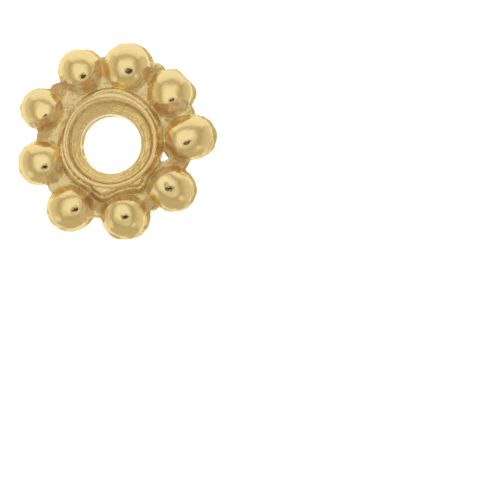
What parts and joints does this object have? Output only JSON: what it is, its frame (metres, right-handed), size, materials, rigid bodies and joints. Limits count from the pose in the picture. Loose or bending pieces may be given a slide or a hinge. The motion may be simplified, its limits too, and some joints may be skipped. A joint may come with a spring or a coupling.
{
  "type": "flower spacer bead",
  "caption": "Flat flower-shaped spacer bead: a ring of domed petals round a raised, funnelled collar with a round threading hole, cast in one piece and gold-plated.",
  "frame": {"origin": "on the bore's axis, at the casting's middle plane, where the two halves of the mould met", "axes": "+Z along the bore towards the face shown in the picture, +Y up in the picture, +X to the right"},
  "size_m": [0.0089, 0.0089, 0.0018],
  "materials": {
    "gold_plate": "bright pale gold plating: polished on the petals' crowns and the rim, matte as cast on the web and in the funnel"
  },
  "bodies": {
    "root": {"flower_spacer_bead": "gold_plate"}
  },
  "joints": []
}
